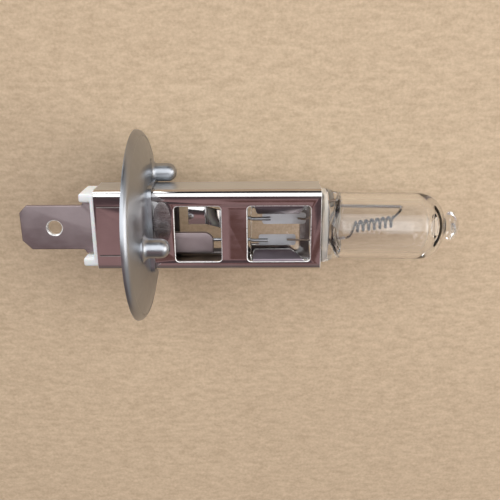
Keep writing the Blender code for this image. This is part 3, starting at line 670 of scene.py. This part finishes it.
# A window flap: rolled bend at the window edge, then straight down to the pinch.
def flapTool(side, face):
    half = sleeve["depth"] / 2
    wall = sleeve["wall"]
    middleZ = half - wall / 2
    angle = math.radians(sleeve["flapAngle"])
    bend = sleeve["flapBend"]
    section = [(-sleeve["flapStart"], 0.0)]
    for step in range(9):
        turn = angle * step / 8
        section.append((bend * math.sin(turn), -bend * (1 - math.cos(turn))))
    drop = middleZ - sleeve["pinchHalf"] - 0.1 * mm - wall / 2 * math.cos(angle)
    rest = (drop + section[-1][1]) / math.sin(angle)
    bendV, bendZ = section[-1]
    section.append((bendV + rest * math.cos(angle), bendZ - rest * math.sin(angle)))
    edgeY = sleeve["windowTop"] if side > 0 else sleeve["windowBottom"]
    inset, slantRear, slantFront = sleeve["flapTop" if side > 0 else "flapBottom"]
    rear = seatX + sleeve["frontWindow"][0] + inset
    front = seatX + sleeve["frontWindow"][1] - inset
    bm = bmesh.new()
    row = [bm.verts.new((rear, edgeY - side * v, face * (middleZ + z))) for v, z in section]
    edges = [bm.edges.new(pair) for pair in zip(row, row[1:])]
    grown = bmesh.ops.extrude_edge_only(bm, edges=edges)["geom"]
    moved = [item for item in grown if isinstance(item, bmesh.types.BMVert)]
    bmesh.ops.translate(bm, vec=(front - rear, 0, 0), verts=moved)
    for vertex in bm.verts:
        share = max(0.0, side * (edgeY - vertex.co.y)) / section[-1][0]
        atRear = vertex.co.x < (rear + front) / 2
        vertex.co.x += slantRear * share if atRear else -slantFront * share
    tips = [v for v in bm.verts if side * (edgeY - v.co.y) > 0.999 * section[-1][0]]
    bmesh.ops.bevel(bm, geom=tips, offset=sleeve["flapTip"], segments=4, profile=0.5,
                    affect="VERTICES", material=-1)
    bmesh.ops.recalc_face_normals(bm, faces=bm.faces)
    bmesh.ops.solidify(bm, geom=bm.faces[:], thickness=wall)
    top = max(abs(v.co.z) for v in bm.verts)
    bmesh.ops.translate(bm, vec=(0, 0, face * (half - 0.02 * mm - top)), verts=bm.verts)
    bmesh.ops.recalc_face_normals(bm, faces=bm.faces)
    return bm


def makeSleeve():
    shell = sleeveShell()
    cutWindows(shell)
    for side in (-1, 1):
        for face in (-1, 1):
            tool = flapTool(side, face)
            edgeY = sleeve["windowTop"] if side > 0 else sleeve["windowBottom"]
            rims = [e for e in tool.edges if e.calc_face_angle(0) > 1.2
                    and all(side * (edgeY - v.co.y) > 0.35 * mm for v in e.verts)]
            roundEdges(tool, rims, sleeve["flapRound"], 2, finish=1, clamp=True)
            # the flaps take the dark mauve flap look, painted shade and mauve reflection; their
            # rounded rims take the bright edge look, a painted highlight
            cutWith(shell, keep("flapTool", tool, [flapShadedNickel, edgeHighlight]), "UNION")
    half = sleeve["depth"] / 2
    for face in (-1, 1):
        for y in sleeve["panelGroove"]:
            # the groove's cut faces take the dark inside nickel: painted shade in the groove
            groove = bmesh.new()
            bmesh.ops.create_cone(groove, cap_ends=True, segments=16, radius1=1.0, radius2=1.0,
                                  depth=sleeve["grooveLength"])
            quarter = Matrix.Rotation(math.pi / 2, 3, "Y")
            bmesh.ops.rotate(groove, cent=(0, 0, 0), matrix=quarter, verts=groove.verts)
            flat = (1, sleeve["grooveWidth"] / 2, sleeve["grooveDepth"])
            bmesh.ops.scale(groove, vec=flat, verts=groove.verts)
            place = (sleeveLow[0] + sleeve["grooveMiddle"], y, face * half)
            bmesh.ops.translate(groove, vec=place, verts=groove.verts)
            cutWith(shell, keep("grooveTool", groove, [shadedInsideNickel]))
        pad = bmesh.new()
        bmesh.ops.create_uvsphere(pad, u_segments=48, v_segments=24, radius=1.0)
        bmesh.ops.scale(pad, vec=sleeve["padRadii"], verts=pad.verts)
        padX, padY, padSink = sleeve["padPlace"]
        place = (seatX + padX, padY, face * (half + padSink))
        bmesh.ops.translate(pad, vec=place, verts=pad.verts)
        # the pressed dome takes the darker mauve pad look: painted shade and mauve reflection
        cutWith(shell, keep("padTool", pad, [padShadedNickel]), "UNION")
    shell.data.materials.append(sideNickel)
    for polygon in shell.data.polygons:  # the two narrow outer sides are worn by the folding tool
        if abs(polygon.normal.y) > 0.99 and abs(polygon.center.y) > sleeveHigh[1] - 0.01 * mm:
            polygon.material_index = len(shell.data.materials) - 1
    shell.data.set_sharp_from_angle(angle=math.radians(32))
    finished(shell, "sleeve_steel", "base_sleeve")


flange = {
    "faceX": -3.3 * mm,  # from the seat plane
    "sheet": 0.7 * mm,
    "slope": (7.8 * mm, 12.3 * mm),  # radii where the face starts and ends its slope
    "slopeX": -4.3 * mm,
    "rimX": -4.9 * mm,
    "roll": (1.02 * mm, 1.25 * mm),
    "rollBack": 0.27 * mm,
    "curl": 0.42 * mm,
    "collarX": -2.75 * mm,
    "collarWall": 0.45 * mm,
    "collarRoot": 0.42 * mm,
    "collarLip": 0.10 * mm,
    "gap": 0.1 * mm,
    "bossCircle": 7.533 * mm,
    "bossFirst": -22.5,
    "bossRadius": 1.28 * mm,
    "bossFillet": 1.22 * mm,
    "bossRoot": 0.7 * mm,
    "bossWall": 0.5 * mm,
}


def flangeSection():
    radius = flangeHigh[1]
    faceX = seatX + flange["faceX"]
    rimX = seatX + flange["rimX"]
    backX = faceX - flange["sheet"]
    flatRadius, slopeRadius = flange["slope"]
    drop = faceX - seatX - flange["slopeX"]
    dish = [(faceX, flatRadius)]
    for step in range(1, 13):
        share = step / 12
        dish.append((faceX - drop * share ** 1.6, flatRadius + (slopeRadius - flatRadius) * share))
    rollX, rollRadius = flange["roll"]
    rollCentre = (rimX - flange["rollBack"], radius - rollRadius)
    roll = arcPoints(rollCentre, (rollX, rollRadius), 24, 90, 16)
    curl = flange["curl"]
    rimCentre = (rollCentre[0], radius - curl)
    rim = arcPoints(rimCentre, (rollCentre[0] - flangeLow[0], curl), 100, 180, 8)
    inner = [(flangeLow[0], radius - 2.2 * curl), (backX - drop * 0.8, radius - 4 * curl),
             (backX, radius - 10 * curl)]
    return [(faceX, 0.0), *dish, *roll, *rim, *inner, (backX, 0.0)]


def bossPlaces():
    for index in range(3):
        angle = math.radians(flange["bossFirst"] + 120 * index)
        yield flange["bossCircle"] * math.cos(angle), flange["bossCircle"] * math.sin(angle)


def makeFlange():
    faceX = seatX + flange["faceX"]
    disc = keep("focusFlange", spunShape(flangeSection(), 160), [satin])
    gap = flange["gap"]
    wall = flange["collarWall"] + gap
    half = sleeve["depth"] / 2
    collar = roundedBox((faceX - flange["sheet"] / 2, sleeveLow[1] - wall, -half - wall),
                        (seatX + flange["collarX"], sleeveHigh[1] + wall, half + wall),
                        0, sleeve["corner"] + wall, 12)
    cutWith(disc, keep("collarTool", collar, [satin]), "UNION")
    radius = flange["bossRadius"]
    fillet = flange["bossFillet"]
    root = flange["bossRoot"]
    footX = faceX - 0.01 * mm
    middleX = faceX - flange["sheet"] / 2
    tip = arcPoints((seatX - fillet, radius - fillet), (fillet, fillet), 0, 90, 9)
    foot = arcPoints((footX + root, radius + root), (root, root), 270, 180, 8)
    section = [(seatX, 0.0), *tip, *foot, (middleX, radius + root), (middleX, 0.0)]
    for y, z in bossPlaces():
        cutWith(disc, keep("bossTool", spunShape(section, 48, (y, z)), [satin]), "UNION")
    hole = roundedBox((seatX - 8 * mm, sleeveLow[1] - gap, -half - gap),
                      (seatX, sleeveHigh[1] + gap, half + gap), 0, sleeve["corner"] + gap, 12)
    cutWith(disc, keep("passageTool", hole, [satin]))
    hollow = radius - flange["bossWall"]
    top = seatX - flange["bossWall"]
    behindX = faceX - 2 * flange["sheet"]
    section = [(top, 0.0), *arcPoints((top - hollow, 0.0), (hollow, hollow), 12, 90, 6),
               (behindX, hollow), (behindX, 0.0)]
    for y, z in bossPlaces():
        cutWith(disc, keep("dimpleTool", spunShape(section, 32, (y, z)), [satin]))
    softenFlange(disc, faceX)
    disc.data.set_sharp_from_angle(angle=math.radians(32))
    finished(disc, "flange_steel", "focus_flange")


# Rounds the root and the front edge of the collar.
def softenFlange(disc, faceX):
    bm = bmesh.new()
    bm.from_mesh(disc.data)
    bmesh.ops.remove_doubles(bm, verts=bm.verts, dist=0.001 * mm)
    bmesh.ops.dissolve_limit(bm, angle_limit=math.radians(0.3), verts=bm.verts, edges=bm.edges)
    roots, lips = [], []
    near = 0.01 * mm
    for edge in bm.edges:
        a, b = (v.co for v in edge.verts)
        if edge.calc_face_angle(0) < 1.0 or abs(b.x - a.x) >= near:
            continue
        if abs(a.x - faceX) < near and abs(b.x - faceX) < near:
            roots.append(edge)
        elif abs(a.x - seatX - flange["collarX"]) < near:
            lips.append(edge)
    roundEdges(bm, roots, flange["collarRoot"], 6, clamp=True)
    roundEdges(bm, [e for e in lips if e.is_valid], flange["collarLip"], 3, clamp=True)
    bm.to_mesh(disc.data)
    bm.free()


glass = {
    "sides": 96,
    "radius": 4.62 * mm,
    "wall": 1.0 * mm,
    "bulge": 0.4 * mm,
    "pinchWidth": 10.3 * mm,
    "pinchThickness": 2.9 * mm,
    "pinchInset": 0.66 * mm,
    "shoulder": 3.0 * mm,
    "tube": 10.44 * mm,
    "dome": 3.5 * mm,
    "neckRadius": 1.55 * mm,
    "neck": 0.15 * mm,
    "nubRadius": 1.95 * mm,
    "nub": 2.25 * mm,
    "nubWave": 0.045,
    "cavityRear": 1.9 * mm,
}
tubeRearX = sleeveHigh[0] + glass["shoulder"]
tubeFrontX = tubeRearX + glass["tube"]
domeFrontX = tubeFrontX + glass["dome"]


# One closed section across X: a circle at 2, nearly a rectangle at 8.
def sectionRing(bm, x, halfWidth, halfDepth, squareness):
    power = 2 / squareness
    ring = []
    for index in range(glass["sides"]):
        angle = 2 * math.pi * index / glass["sides"]
        cos, sin = math.cos(angle), math.sin(angle)
        y = math.copysign(abs(cos) ** power, cos) * halfWidth
        z = math.copysign(abs(sin) ** power, sin) * halfDepth
        ring.append(bm.verts.new((x, y, z)))
    edges = [bm.edges.new((ring[i - 1], ring[i])) for i in range(glass["sides"])]
    return edges, ring


def glassSections():
    halfWidth = glass["pinchWidth"] / 2
    halfDepth = glass["pinchThickness"] / 2
    radius = glass["radius"]
    bulge = radius + glass["bulge"]
    frontX = sleeveHigh[0]
    step = glass["shoulder"] / 4
    keys = [
        (glassLow[0], 0.955 * halfWidth, 0.70 * halfDepth, 5),
        (glassLow[0] + 0.12 * mm, 0.985 * halfWidth, 0.90 * halfDepth, 7),
        (glassLow[0] + 0.35 * mm, halfWidth, halfDepth, 8),
        (frontX - glass["pinchInset"], halfWidth, halfDepth, 8),
        (frontX, halfWidth, 1.5 * halfDepth, 5),
        (frontX + 0.45 * step, bulge, 0.72 * bulge, 3.4),
        (frontX + 1.2 * step, bulge, 0.86 * bulge, 2.7),
        (frontX + 2.1 * step, 0.5 * bulge + 0.5 * radius, 0.96 * radius, 2.25),
        (frontX + 3.1 * step, radius, radius, 2),
        (tubeRearX, radius, radius, 2),
    ]
    sections = keys[:4]
    for here, there in zip(keys[3:], keys[4:]):
        for part in range(1, 7):
            t = part / 6
            ease = (3 * t * t - 2 * t ** 3) * 0.35 + t * 0.65
            sections.append(tuple(b + (c - b) * ease for b, c in zip(here, there)))
    turned = [(tubeRearX + glass["tube"] * i / 6, radius) for i in range(1, 7)]
    dome = (glass["dome"], radius - glass["neckRadius"])
    turned += arcPoints((tubeFrontX, glass["neckRadius"]), dome, 84, 6, 14)
    nubRearX = domeFrontX + glass["neck"]
    turned.append((nubRearX - 0.05 * mm, glass["neckRadius"]))
    halfNub = (glassHigh[0] - nubRearX) / 2
    turned += arcPoints((glassHigh[0] - halfNub, 0.0), (halfNub, glass["nubRadius"]), 140, 8, 16)
    sections += [(x, r, r, 2) for x, r in turned]
    return sections


def makeEnvelope():
    bm = bmesh.new()
    rings = [sectionRing(bm, *section) for section in glassSections()]
    for (rear, _), (front, _) in zip(rings, rings[1:]):
        bmesh.ops.bridge_loops(bm, edges=rear + front)
    for ring in (rings[0][1], rings[-1][1]):
        bm.faces.new(ring)
    bmesh.ops.recalc_face_normals(bm, faces=bm.faces)
    envelope = keep("quartzEnvelope", bm, [quartz], 60)
    inner = glass["radius"] - glass["wall"]
    domeReach = glass["dome"] - 1.3 * glass["wall"]
    profile = [
        *arcPoints((tubeFrontX, 0.0), (domeReach, inner), 0, 90, 20),
        *arcPoints((tubeRearX, 0.0), (glass["cavityRear"], inner), 90, 180, 20),
    ]
    cutWith(envelope, keep("cavityTool", spunShape(profile, 96), [quartz]))
    for vertex in envelope.data.vertices:  # the pinched-off tip is uneven
        share = (vertex.co.x - domeFrontX - glass["neck"]) / glass["nub"]
        if share > 0.0 and vertex.co.yz.length > 0.05 * mm:
            turn = math.atan2(vertex.co.z, vertex.co.y)
            wave = math.sin(3 * turn + 5 * share) + 0.6 * math.sin(5 * turn - 9 * share)
            vertex.co.yz *= 1.0 + glass["nubWave"] * wave * math.sin(math.pi * min(share, 1.0))
    envelope.data.shade_smooth()
    leanBurner(envelope)
    finished(envelope, "quartz", "quartz_envelope")


burner = {
    "innerRadius": 0.14 * mm,
    "outerRadius": 0.25 * mm,
    "overwindRadius": 0.062 * mm,
    "overwindPitch": 0.35 * mm,
    "overwindCoil": 0.20 * mm,
    "coilRadius": 0.65 * mm,
    "coilTurns": 7,
    "strandRadius": 0.06 * mm,
    "strandCoil": 0.15 * mm,
    "strandPitch": 0.22 * mm,
}


def makeFoil(name, node):
    low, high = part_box(node)
    bm = roundedBox(low, high, 2, 0.35 * mm, 6)
    for station in range(1, 12):
        x = low[0] + (high[0] - low[0]) * station / 12
        bmesh.ops.bisect_plane(bm, geom=bm.verts[:] + bm.edges[:] + bm.faces[:], plane_co=(x, 0, 0),
                               plane_no=(1, 0, 0))
    for vertex in bm.verts:
        vertex.co.z += 0.012 * mm * math.sin((vertex.co.x - low[0]) / (0.55 * mm))
    piece = keep(name, bm, [foilGrey], 30)
    finished(piece, "molybdenum", node)


# The points as vectors, at their places from the seat plane.
def leadRoute(points):
    return [Vector((seatX + x * mm, y * mm, 0.0)) for x, y in points]


leadRoutes = {
    "inner_lead_long": [(17.1, 1.0), (18.4, 1.0), (20.06, 2.48), (21.06, 2.68), (26.0, 2.68),
                        (31.3, 2.68)],
    "inner_lead_short": [(15.7, -2.1), (20.06, -2.1), (23.7, -1.85)],
    "outer_lead_upper": [(2.4, 1.0), (13.3, 1.0)],
    "outer_lead_lower": [(3.2, -2.1), (12.9, -2.1)],
}
overwindEnds = {
    "overwind_long": [(21.5, 2.68), (31.1, 2.68)],
    "overwind_short": [(21.3, -2.0), (23.6, -1.858)],
}


def makeLeads():
    for node, points in leadRoutes.items():
        route = leadRoute(points)
        if len(route) > 2:
            route = smoothRoute(route, 60)
        radius = burner["innerRadius"] if "inner" in node else burner["outerRadius"]
        finish = leadBrown if "inner" in node else molyWire
        wire = wirePiece(node + "_wire", route, radius, finish, 12)
        if "inner" in node:
            leanBurner(wire)
        finished(wire, "molybdenum", node)
    for node, ends in overwindEnds.items():
        start, stop = leadRoute(ends)
        points = coilAround([start, stop], burner["overwindCoil"], burner["overwindPitch"], 14)
        wire = wirePiece(node + "_wire", points, burner["overwindRadius"], brightWind, 8)
        leanBurner(wire)
        finished(wire, "tungsten", node)


def filamentRoute():
    points = leadRoute([(23.74, -1.85), (24.1, -1.70), (24.45, -1.05), (24.72, -0.15)])
    steps = burner["coilTurns"] * 24
    for step in range(steps + 1):
        share = step / steps
        turn = 2 * math.pi * burner["coilTurns"] * share
        x = seatX + (24.9 + 5.4 * share) * mm
        y = (-0.22 + 0.86 * share) * mm + burner["coilRadius"] * math.cos(turn)
        points.append(Vector((x, y, burner["coilRadius"] * math.sin(turn))))
    return points + leadRoute([(30.62, 1.62), (30.95, 2.05), (31.16, 2.40)])


def makeFilament():
    route = smoothRoute(filamentRoute(), 900)
    points = coilAround(route, burner["strandCoil"], burner["strandPitch"], 9)
    coil = wirePiece("filamentCoil", points, burner["strandRadius"], tungsten, 6)
    leanBurner(coil)
    finished(coil, "tungsten", "filament_coil")


strap = {
    "thickness": 0.3 * mm,
    "bend": 0.5 * mm,
    "edge": 0.05 * mm,
    "climb": (4.3 * mm, 6.7 * mm),  # where the bent stretch starts and ends, from the seat plane
}


def makeStrap():
    low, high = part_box("ground_strap")
    t = strap["thickness"]
    lowZ, highZ = low[2] + t / 2, high[2] - t / 2
    climbStart, climbStop = (seatX + x for x in strap["climb"])
    keys = [(low[0], lowZ), (climbStart, lowZ), (climbStop, highZ), (high[0], highZ)]
    path = [Vector((x, 0, z)) for x, z in keys]
    bm = bmesh.new()
    points = [path[0]]
    for a, b, c in zip(path, path[1:], path[2:]):
        start = b + (a - b).normalized() * strap["bend"]
        stop = b + (c - b).normalized() * strap["bend"]
        for step in range(9):
            s = step / 8
            points.append(start.lerp(b, s).lerp(b.lerp(stop, s), s))
    points.append(path[-1])
    row = [bm.verts.new((p.x, low[1], p.z)) for p in points]
    edges = [bm.edges.new(pair) for pair in zip(row, row[1:])]
    grown = bmesh.ops.extrude_edge_only(bm, edges=edges)["geom"]
    moved = [item for item in grown if isinstance(item, bmesh.types.BMVert)]
    bmesh.ops.translate(bm, vec=(0, high[1] - low[1], 0), verts=moved)
    bmesh.ops.solidify(bm, geom=bm.faces[:], thickness=t)
    zs = [v.co.z for v in bm.verts]
    bmesh.ops.translate(bm, vec=(0, 0, high[2] - max(zs)), verts=bm.verts)
    bmesh.ops.recalc_face_normals(bm, faces=bm.faces)
    rims = [e for e in bm.edges if e.calc_face_angle(0) > 1.2]
    roundEdges(bm, rims, strap["edge"], 2)
    finished(keep("groundStrap", bm, [nickel], 35), "sleeve_steel", "ground_strap")


makeBlade()
makeCeramicBlock()
print("stage: blade and ceramic made")
makeSleeve()
print("stage: sleeve made")
makeFlange()
print("stage: flange made")
makeEnvelope()
print("stage: quartz made")
makeFoil("foilUpper", "foil_upper")
makeFoil("foilLower", "foil_lower")
makeLeads()
makeFilament()
makeStrap()
print("stage: burner made")


paper = {
    "size": 0.9,
    "dark": (0.475, 0.355, 0.235),
    "pale": (0.63, 0.485, 0.335),
    "fibre": (2200, 1300),  # fine and coarse scale
}


def makeFloor():
    bm = bmesh.new()
    bmesh.ops.create_grid(bm, x_segments=1, y_segments=1, size=paper["size"])
    bmesh.ops.translate(bm, vec=(0, 0, floorZ - 0.02 * mm), verts=bm.verts)
    n = Nodes("paleFloor")
    n.set(Roughness=0.9)
    fine, coarse = paper["fibre"]
    fibre = n.add(n.noise(fine, 3, (1, 1, 1), 0.7), n.noise(coarse, 2, (0.4, 1, 1), 0.6))
    fibre = n.remap(fibre, 0.72, 1.28, 0.0, 1.0)
    n.output(n.blend(fibre, paper["dark"], paper["pale"]), "Base Color")
    floor = keep("floor", bm, [n.material])


softboxes = {  # place, size, watts, colour
    "keySoftbox": ((0.02, 0.172, 0.35), (0.60, 0.42), 1.7, (0.97, 0.985, 1.0)),
    "rightSoftbox": ((0.36, 0.02, 0.18), (0.30, 0.30), 0.80, (1.0, 0.98, 0.95)),
    "leftSoftbox": ((-0.23, 0.34, 0.04), (0.30, 0.20), 0.90, (0.93, 0.97, 1.0)),
}


def makeLight(name, place, size, power, colour):
    data = bpy.data.lights.new(name, "AREA")
    data.shape = "RECTANGLE"
    data.size, data.size_y = size
    data.energy = power
    data.color = colour
    light = bpy.data.objects.new(name, data)
    light.location = place
    light.rotation_mode = "QUATERNION"
    light.rotation_quaternion = Vector(place).to_track_quat("Z", "Y")
    bpy.context.scene.collection.objects.link(light)


room = {
    "strength": 1.5,
    "walls": [  # from low Y to high Y
        (0.0, (0.12, 0.10, 0.095)), (0.28, (0.18, 0.12, 0.12)), (0.327, (0.25, 0.155, 0.158)),
        (0.376, (0.235, 0.145, 0.148)), (0.388, (0.07, 0.045, 0.05)), (0.50, (0.03, 0.03, 0.032)),
        (0.93, (0.02, 0.02, 0.022)), (1.0, (0.03, 0.03, 0.032)),
    ],
    "panel": (0.105, 0.052, 0.047),  # a darker panel on the low Y wall
    "panelEdges": [("Y", -0.269, -0.279), ("Y", -0.340, -0.328), ("X", -0.140, -0.090)],
    "front": (0.30, 0.285, 0.275),  # a paler wall ahead of the bulb
    "frontEdge": (0.25, 0.60),
}


def makeWorld():
    world = bpy.data.worlds.new("studio")
    bpy.context.scene.world = world
    world.use_nodes = True
    tree = world.node_tree
    background = tree.nodes["Background"]
    coords = tree.nodes.new("ShaderNodeTexCoord")
    split = tree.nodes.new("ShaderNodeSeparateXYZ")
    tree.links.new(coords.outputs["Generated"], split.inputs[0])

    def step(axis, low, high):
        node = tree.nodes.new("ShaderNodeMapRange")
        node.interpolation_type = "SMOOTHSTEP"
        node.inputs[1].default_value = low
        node.inputs[2].default_value = high
        tree.links.new(split.outputs[axis], node.inputs[0])
        return node.outputs[0]

    def mix(factor, first, colour):
        node = tree.nodes.new("ShaderNodeMix")
        node.data_type = "RGBA"
        tree.links.new(factor, node.inputs[0])
        tree.links.new(first, node.inputs[6])
        node.inputs[7].default_value = (*colour, 1.0)
        return node.outputs[2]

    ramp = tree.nodes.new("ShaderNodeValToRGB")
    ramp.color_ramp.interpolation = "EASE"
    elements = ramp.color_ramp.elements
    while len(elements) < len(room["walls"]):
        elements.new(0.5)
    for element, (spot, colour) in zip(elements, room["walls"]):
        element.position = spot
        element.color = (*colour, 1.0)
    half = tree.nodes.new("ShaderNodeMapRange")
    half.inputs[1].default_value = -1.0
    tree.links.new(split.outputs["Y"], half.inputs[0])
    tree.links.new(half.outputs[0], ramp.inputs[0])
    inPanel = None
    for edge in room["panelEdges"]:
        factor = step(*edge)
        if inPanel is not None:
            times = tree.nodes.new("ShaderNodeMath")
            times.operation = "MULTIPLY"
            tree.links.new(inPanel, times.inputs[0])
            tree.links.new(factor, times.inputs[1])
            factor = times.outputs[0]
        inPanel = factor
    walls = mix(inPanel, ramp.outputs["Color"], room["panel"])
    walls = mix(step("X", *room["frontEdge"]), walls, room["front"])
    tree.links.new(walls, background.inputs["Color"])
    background.inputs["Strength"].default_value = room["strength"]


view = {
    "lens": 46.8,
    "sensor": 36,
    "place": (2.378 * mm, 24.998 * mm, 87.413 * mm),
    "turn": (-0.3172, 0.0109, -0.0044),
    "clip": (0.005, 10),
}


def makeCamera():
    data = bpy.data.cameras.new("camera")
    data.lens = view["lens"]
    data.sensor_width = view["sensor"]
    data.clip_start, data.clip_end = view["clip"]
    camera = bpy.data.objects.new("camera", data)
    camera.location = view["place"]
    camera.rotation_mode = "ZYX"
    camera.rotation_euler = view["turn"]
    bpy.context.scene.collection.objects.link(camera)
    bpy.context.scene.camera = camera


makeFloor()
for softbox, settings in softboxes.items():
    makeLight(softbox, *settings)
makeWorld()
makeCamera()
bpy.context.scene.view_settings.view_transform = "Standard"
print("stage: floor, lights and camera set")
